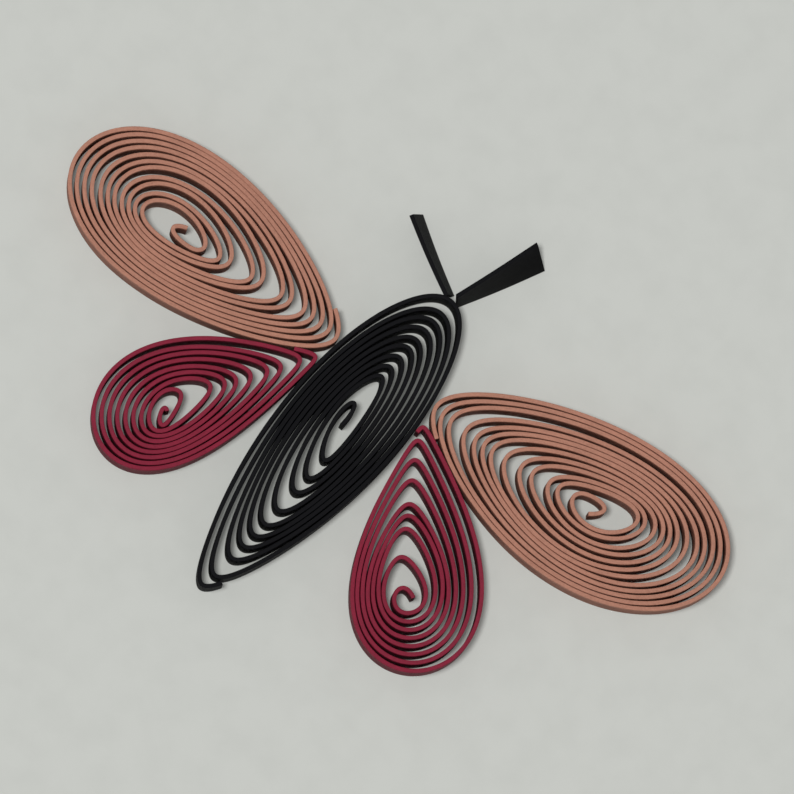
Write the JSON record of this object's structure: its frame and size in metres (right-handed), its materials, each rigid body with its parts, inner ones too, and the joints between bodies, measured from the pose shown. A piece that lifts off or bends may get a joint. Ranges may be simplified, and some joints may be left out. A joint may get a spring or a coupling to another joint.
{
  "type": "quilled paper butterfly",
  "caption": "Small quilled paper butterfly: narrow paper strips on edge, coiled and pinched into a long dark body and teardrop wings, with paper antennae, glued down by their lower edges.",
  "frame": {"origin": "middle of the butterfly's footprint, in the plane of its glued lower edges", "axes": "+Z away from the card it is glued to, +Y along the body towards the head, +X towards the right-hand wings"},
  "size_m": [0.0248, 0.0156, 0.0015],
  "materials": {
    "black_paper": "matt",
    "tan_paper": "matt",
    "red_paper": "matt"
  },
  "bodies": {
    "root": {"body_coil": "black_paper", "upper_wing_left": "tan_paper", "upper_wing_right": "tan_paper", "lower_wing_left": "red_paper", "lower_wing_right": "red_paper", "antenna_left": "black_paper", "antenna_right": "black_paper"}
  },
  "joints": []
}
